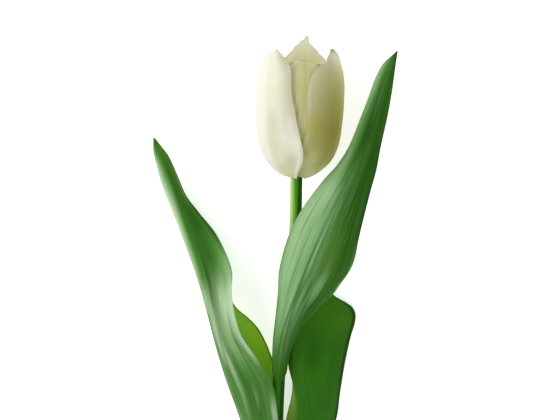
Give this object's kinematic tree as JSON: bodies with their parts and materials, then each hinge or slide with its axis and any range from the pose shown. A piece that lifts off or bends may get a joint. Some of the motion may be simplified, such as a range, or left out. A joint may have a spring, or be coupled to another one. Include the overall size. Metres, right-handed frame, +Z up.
{
  "type": "cut tulip",
  "caption": "Single cut white tulip lying on its side: a closed cup-shaped bloom of overlapping tepals on a straight stem, with broad, waved, clasping leaves.",
  "frame": {"origin": "middle of the footprint on the table that it lies on, at the lowest point", "axes": "+Y along the stem towards the bloom, +X towards the taller leaf beside the bloom, +Z up from the table"},
  "size_m": [0.1227, 0.3219, 0.0441],
  "materials": {
    "stalk": "smooth waxy green",
    "leaf": "satin green with a pale wax bloom and parallel veins",
    "tepal": "soft satin ivory, thin enough to let light through",
    "ovary": "matt pale green",
    "anther": "powdery yellow on pale filaments"
  },
  "bodies": {
    "root": {"stem": "stalk", "leaf_left": "leaf", "leaf_right": "leaf", "leaf_back": "leaf", "tepal_outer_left": "tepal", "tepal_outer_right": "tepal", "tepal_outer_back": "tepal", "tepal_inner_front": "tepal", "tepal_inner_left": "tepal", "tepal_inner_right": "tepal", "pistil": "ovary", "stamens": "anther"}
  },
  "joints": []
}
